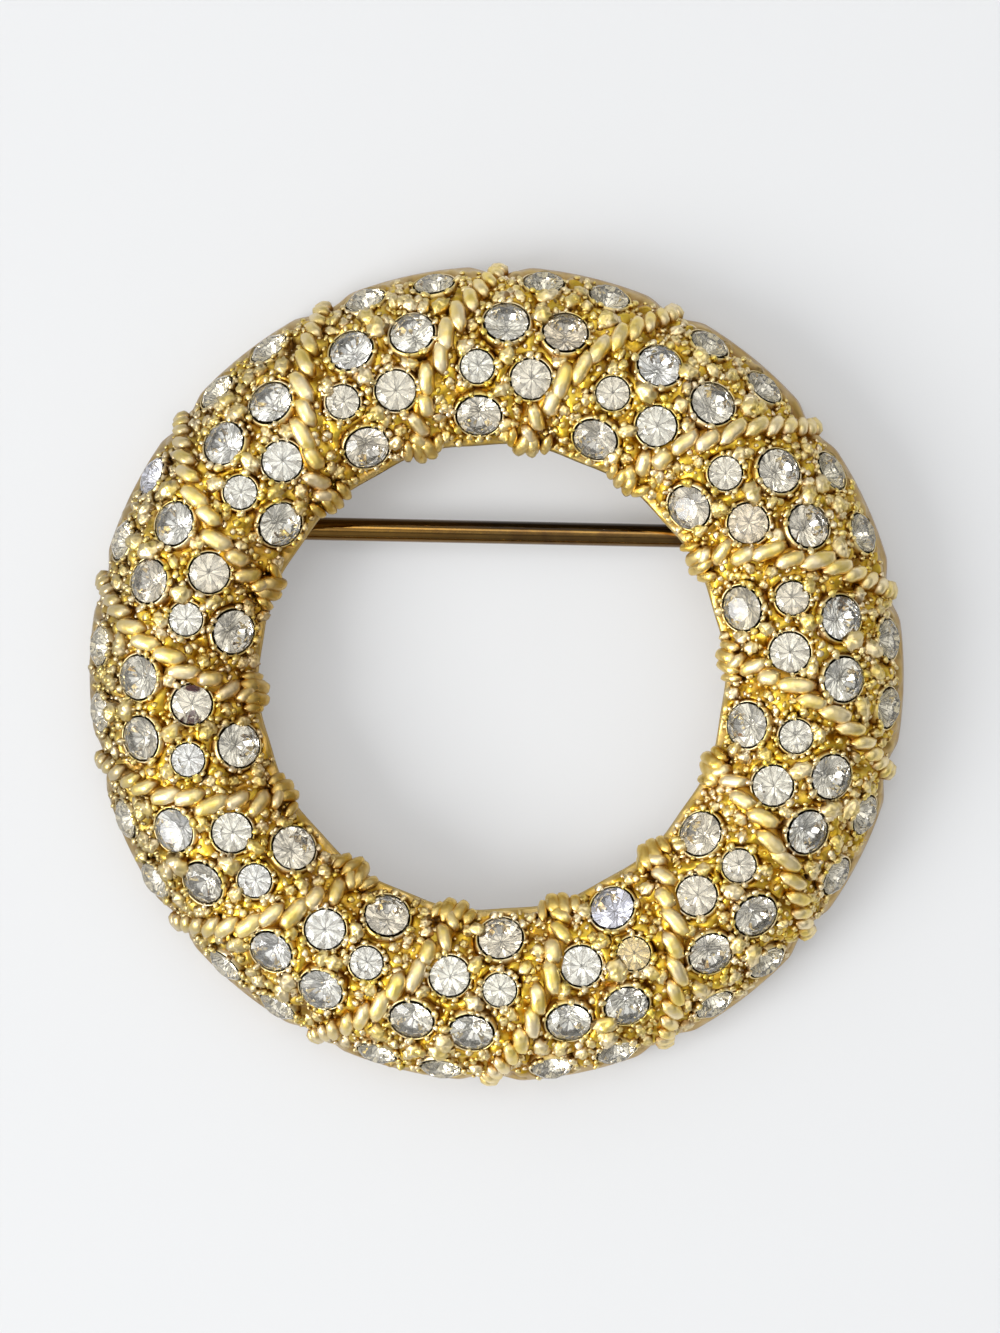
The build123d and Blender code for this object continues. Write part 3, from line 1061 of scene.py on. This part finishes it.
# %% Make the bead's shape and set the nuggets
def bead_shape(sides, rings, lumps, lump_size):
    """A bead of radius 1 with an uneven skin, as it comes out of the casting."""
    angles = [math.pi * row / rings for row in range(1, rings)]
    hoops = [
        ring_points(math.sin(angle), math.cos(angle), sides, 0.5 * (row % 2))
        for row, angle in enumerate(angles, 1)
    ]
    points, faces = capped((0, 0, 1), hoops, (0, 0, -1))
    return [tuple(Vector(p) * (1 + lumps * noise.noise(Vector(p) / lump_size))) for p in points], faces


nugget_template = template("nugget_template", *bead_shape(14, 9, 0.55, 0.5), dirt_and_shade_below=(0.0, 0.62))
bead_template = template("bead_template", *bead_shape(7, 5, 0.5, 0.6), dirt_and_shade_below=(-0.1, 0.55))
nuggets = pattern(NuggetRows)
nuggets[:, 0] += dice.normal(0, 0.4, len(nuggets))
nuggets[:, 1] += dice.normal(0, 1.2, len(nuggets))
nugget_sink = 0.06
spots, outward_here, across_here = dome_place(
    nuggets[:, 0], nuggets[:, 1], swell(nuggets[:, 0], nuggets[:, 1]) - nugget_sink
)
stretch = np.stack([dice.uniform(0.95, 1.35, len(nuggets)), dice.uniform(0.8, 1.05, len(nuggets))], -1)
nugget_size = nuggets[:, 2:3] * np.concatenate([stretch, dice.uniform(0.8, 1.0, (len(nuggets), 1))], -1)
nugget_piece = set_on_dome(
    "cast_nuggets", nugget_template, spots, outward_here, across_here, nugget_size,
    dice.uniform(0, 2 * math.pi, len(nuggets)), gold["rope_gold"],
)
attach(nugget_piece, "brooch")

# %% Set the fans of short bars in which the ropes end at the inner edge
FanRows = [
    # degrees from the rope's end, turn, half a length
    (-3.7, -44.0, 0.6),
    (-1.2, -46.0, 0.8),
    (1.5, -46.5, 0.82),
    (4.0, -45.0, 0.6),
]
bars = np.array([
    (ridge * bay_pitch + rope_bearing(ridge_end_turn) + aside, turn, half_length)
    for ridge in range(bay_count)
    for aside, turn, half_length in FanRows
])
bar_lift, bar_shape = 0.1, (1, 0.45, 0.58)
bars[:, :2] += dice.normal(0, (0.3, 0.8), (len(bars), 2))
spots, outward_here, across_here = dome_place(bars[:, 0], bars[:, 1], bar_lift)
bar_size = bars[:, 2:3] * bar_shape * dice.uniform(0.85, 1.15, (len(bars), 3))
fan_piece = set_on_dome(
    "rope_ends", turn_template, spots, outward_here, np.cross(outward_here, across_here), bar_size,
    dice.normal(0, 0.2, len(bars)), gold["lip_gold"],
)
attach(fan_piece, "brooch")

# %% Set the beads that hold the stones
beads_per_stone, bead_gap, bead_overlap = 11, 0.05, 0.55
smooth_rim, over_stone = 19.8, 0.06
owner = np.repeat(np.arange(len(stones)), beads_per_stone)
angles = np.tile(np.arange(beads_per_stone) * 2 * math.pi / beads_per_stone, len(stones))
angles += dice.uniform(0, 6.28, len(stones))[owner] + dice.normal(0, 0.18, len(owner))
bead_radius = dice.uniform(0.13, 0.24, len(owner))
reach = stones[owner, 2] / 2 + bead_gap + bead_radius * bead_overlap
forward = np.cross(stone_outward, stone_across)
spots = stone_spot[owner] + stone_across[owner] * (reach * np.cos(angles))[:, None]
spots += forward[owner] * (reach * np.sin(angles))[:, None]
spots += stone_outward[owner] * dice.uniform(-0.14, 0.0, len(owner))[:, None]
distances = np.linalg.norm(spots[:, None] - stone_spot[None], axis=2) - stones[None, :, 2] / 2
clear = (distances.min(1) > over_stone) & (np.hypot(spots[:, 0], spots[:, 1]) < smooth_rim)
bead_size = bead_radius[:, None] * dice.uniform(0.8, 1.2, (len(owner), 3))
beads = set_on_dome(
    "setting_beads", bead_template, spots[clear], stone_outward[owner][clear], stone_across[owner][clear],
    bead_size[clear], angles[clear], gold["bead_gold"],
)
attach(beads, "brooch")

# %% [markdown]
# ## Grains on the ground
# The ground that is left is strewn with lumps and fine grains. Geometry Nodes scatter points on the shell
# where it is marked free, at least a grain apart, and set a low bead at each one with a random size and turn.
# The seed is fixed, so every run gives the same grains.

# %% The tree that strews grains
strew, socket = open_tree(
    "Strew Grains",
    "GeometryNodeTree",
    [
        ("Geometry", "Geometry", None),
        ("Grain", "Object", None),
        ("Spacing", "Float", 0.0004),
        ("Density", "Float", 1.2e7),
        ("Where", "String", "free"),
        ("Smallest", "Float", 0.0001),
        ("Largest", "Float", 0.0002),
        ("Finish", "Material", None),
        ("Seed", "Int", 3),
    ],
    [("Geometry", "Geometry")],
)
scatter = add(
    strew,
    "GeometryNodeDistributePointsOnFaces",
    {
        "Mesh": socket["Geometry"],
        "Distance Min": socket["Spacing"],
        "Density Max": socket["Density"],
        "Density Factor": named(strew, socket["Where"]),
        "Seed": socket["Seed"],
    },
    distribute_method="POISSON",
)


def random_value(low, high, **settings):
    plugs = {"Min": low, "Max": high, "Seed": socket["Seed"]}
    return result(strew, "FunctionNodeRandomValue", plugs, **settings)


size = random_value(socket["Smallest"], socket["Largest"])
stretch = random_value((0.75, 0.75, 0.7), (1.3, 1.3, 1.15), data_type="FLOAT_VECTOR")
grains = real_copies(
    strew,
    scatter.outputs["Points"],
    socket["Grain"],
    spun(strew, scatter.outputs["Rotation"], random_value(0.0, 2 * math.pi)),
    calc_vector(strew, "SCALE", stretch, size),
    True,
    socket["Finish"],
)
close_tree(strew, Geometry=grains)

# %% Strew the larger lumps, then the grains between them
lump_piece = show("ground_lumps", shell.data.copy())
grow(lump_piece, strew, grain=nugget_template, spacing=0.52 * mm, density=1e7, smallest=0.2 * mm,
     largest=0.36 * mm, where="roomy", finish=gold["rope_gold"], seed=11)
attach(lump_piece, "brooch")

grain_piece = show("ground_grains", shell.data.copy())
grow(grain_piece, strew, grain=bead_template, spacing=0.35 * mm, density=1.5e7, smallest=0.1 * mm,
     largest=0.22 * mm, finish=gold["bead_gold"], seed=5)
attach(grain_piece, "brooch")
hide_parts("ring_casting")

# %% [markdown]
# ## Hinge and catch
# On the back, two cheeks carry the rivet on which the stem turns, and a trough opposite takes its point. They
# are small plates soldered into the hollow, with edges rounded by a bevel.

# %% Build the cheeks and the catch
pivot = Vector((-14.5, 7.1, 1.3))
cheek_half, cheek_offset, cheek_thickness, cheek_top = 1.0, 0.935, 0.6, 4.25
cheek_foot, cheek_foot_height = 0.8, 1.2
catch_x, catch_half, catch_top = 13.6, 1.2, 4.4
slot_radius, trough_half, trough_foot, foot_height = 0.695, 1.245, 0.25, 0.63


def plate(outline, axis, low, high, bevel=0.07):
    """A flat outline, in millimetres, pushed out along one axis, with rounded edges."""
    shape = bmesh.new()
    spots = [(low, a, b) if axis == 0 else (a, low, b) for a, b in outline]
    face = shape.faces.new([shape.verts.new(Vector(p) * mm) for p in spots])
    pushed = bmesh.ops.extrude_face_region(shape, geom=[face])
    way = Vector((high - low, 0, 0)) if axis == 0 else Vector((0, high - low, 0))
    moved = [v for v in pushed["geom"] if isinstance(v, bmesh.types.BMVert)]
    bmesh.ops.translate(shape, verts=moved, vec=way * mm)
    bmesh.ops.recalc_face_normals(shape, faces=shape.faces)
    sharp = [e for e in shape.edges if e.calc_face_angle(0) > 0.6]
    bmesh.ops.bevel(shape, geom=sharp, offset=bevel * mm, segments=2, profile=0.5, affect="EDGES")
    mesh = bpy.data.meshes.new("plate")
    shape.to_mesh(mesh)
    shape.free()
    return mesh


def arc(x, y, radius, start, end, count):
    angles = np.radians(np.linspace(start, end, count))
    return [(x + radius * math.cos(a), y + radius * math.sin(a)) for a in angles]


cheek_middle, foot_middle = cheek_half - cheek_foot, trough_half - trough_foot
cheek_outline = [
    (pivot.x - cheek_half, cheek_top),
    *arc(pivot.x - cheek_middle, cheek_foot_height, cheek_foot, 180, 270, 7),
    *arc(pivot.x + cheek_middle, cheek_foot_height, cheek_foot, 270, 360, 7),
    (pivot.x + cheek_half, cheek_top),
]
catch_outline = [
    (pivot.y - trough_half, catch_top),
    *arc(pivot.y - foot_middle, foot_height, trough_foot, 180, 270, 4),
    *arc(pivot.y, pivot.z, slot_radius, 180, 0, 13),
    *arc(pivot.y + foot_middle, foot_height, trough_foot, 270, 360, 4),
    (pivot.y + trough_half, catch_top),
]
plates = [
    plate(cheek_outline, 1, middle - cheek_thickness / 2, middle + cheek_thickness / 2)
    for middle in (pivot.y - cheek_offset, pivot.y + cheek_offset)
]
plates.append(plate(catch_outline, 0, catch_x - catch_half, catch_x + catch_half))
joined = bmesh.new()
for mesh in plates:
    joined.from_mesh(mesh)
findings_mesh = bpy.data.meshes.new("hinge_and_catch")
joined.to_mesh(findings_mesh)
joined.free()
findings_mesh.materials.append(gold["back_gold"])
findings = show("hinge_and_catch", findings_mesh)
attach(findings, "brooch")
print("hinge and catch have", len(findings_mesh.polygons), "faces")

# %% [markdown]
# ## Stem and rivet
# The stem and the rivet keep their CAD shapes, which are already what they are on the real pin: drawn wire
# with a flat eye and a tapered point, and a headed rivet. They only need their finish.

# %% Finish the stem and the rivet
for node_name, finish in (("pin_stem", "stem_bronze"), ("hinge_rivet", "rivet_bronze")):
    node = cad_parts[node_name]
    node.data.materials.clear()
    node.data.materials.append(gold[finish])

for spare in (stone_template, seat_template, turn_template, nugget_template, bead_template):
    bpy.data.objects.remove(spare)

# %% [markdown]
# ## Floor and light
# The brooch lies on a plain pale sheet. A wide soft light stands at the lower left, and a pale sky fills in.
# The sky is a sum of soft patches: the room on the window's side, the ceiling, a fill at the upper right and
# a small skylight. It is darker where the lens stands and towards the near side, and a slow unevenness gives
# the metal and the stones something to mirror.

# %% Lay the floor
floor_mesh = bpy.data.meshes.new("floor")
floor_mesh.from_pydata([(-2, -2, 0), (2, -2, 0), (2, 2, 0), (-2, 2, 0)], [], [(0, 1, 2, 3)])
floor = show("floor", floor_mesh)
paper, _, _ = blank_material(
    "paper", Base_Color=(0.5, 0.505, 0.51, 1), Emission_Color=(0.99, 0.995, 1.0, 1),
    Emission_Strength=0.23, Roughness=0.9, Specular_IOR_Level=0.2,
)
floor_mesh.materials.append(paper)
floor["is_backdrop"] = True

# %% Set the light and the sky
window_place, window_side, window_watts = Vector((-0.5, -0.23, 0.41)), 0.34, 3.5
SkyRows = {
    # direction, how near it begins and is full, brightness far off and near
    "room": ((-0.66, -0.16, 0.73), -0.35, 0.85, 0.26, 1.04),
    "ceiling": ((-0.1, -0.05, 1.0), 0.5, 0.85, 0.0, 0.44),
    "lens_shade": ((0.06, 0.04, 1.0), 0.95, 0.985, 1.0, 0.8),
    "low_shade": ((0.05, -0.57, 0.82), 0.9, 0.97, 1.0, 0.35),
    "far_fill": ((0.5, 0.52, 0.69), 0.6, 0.95, 0.0, 0.3),
    "skylight": ((0.0, 0.39, 0.92), 0.985, 0.996, 0.0, 2.4),
}

light = bpy.data.lights.new("window", "AREA")
light.size, light.energy = window_side, window_watts
lamp = show("window", light)
lamp.location = window_place
lamp.rotation_mode = "QUATERNION"
lamp.rotation_quaternion = window_place.to_track_quat("Z", "Y")

sky = bpy.data.worlds.new("sky")
sky.use_nodes = True
bpy.context.scene.world = sky
tree = sky.node_tree
direction = result(tree, "ShaderNodeTexCoord", out="Generated")
part = {}
for name, (where, low, high, least, most) in SkyRows.items():
    nearness = calc_vector(tree, "DOT_PRODUCT", direction, tuple(Vector(where).normalized()))
    part[name] = remap(tree, nearness, low, high, least, most, "SMOOTHSTEP")
clutter = result(tree, "ShaderNodeTexNoise", {"Vector": direction, "Scale": 5.5, "Detail": 1.0})
clutter = remap(tree, clutter, 0.4, 0.58, 0.42, 1.26)
shade = calc(tree, "MULTIPLY", calc(tree, "MULTIPLY", part["lens_shade"], part["low_shade"]), clutter)
strength = calc(tree, "ADD", calc(tree, "ADD", part["room"], part["ceiling"]), part["far_fill"])
strength = calc(tree, "MULTIPLY_ADD", strength, shade, part["skylight"])
tree.nodes["Background"].inputs["Color"].default_value = (0.985, 0.99, 1.0, 1)
tree.links.new(strength, tree.nodes["Background"].inputs["Strength"])
bpy.context.scene.view_settings.view_transform = "Standard"
print("light", light.name, "and sky parts", list(part))

# %% [markdown]
# ## Keep the sizes
# The boxes of the CAD model and of the finished pieces are kept side by side, and the visual box is printed.

# %% Keep the boxes and print the visual one
low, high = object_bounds()
boxes = {"cad": [list(cad_low), list(cad_high)], "visual": [list(low), list(high)]}
print("visual box in mm", [round(v / mm, 2) for v in (*low, *high)])
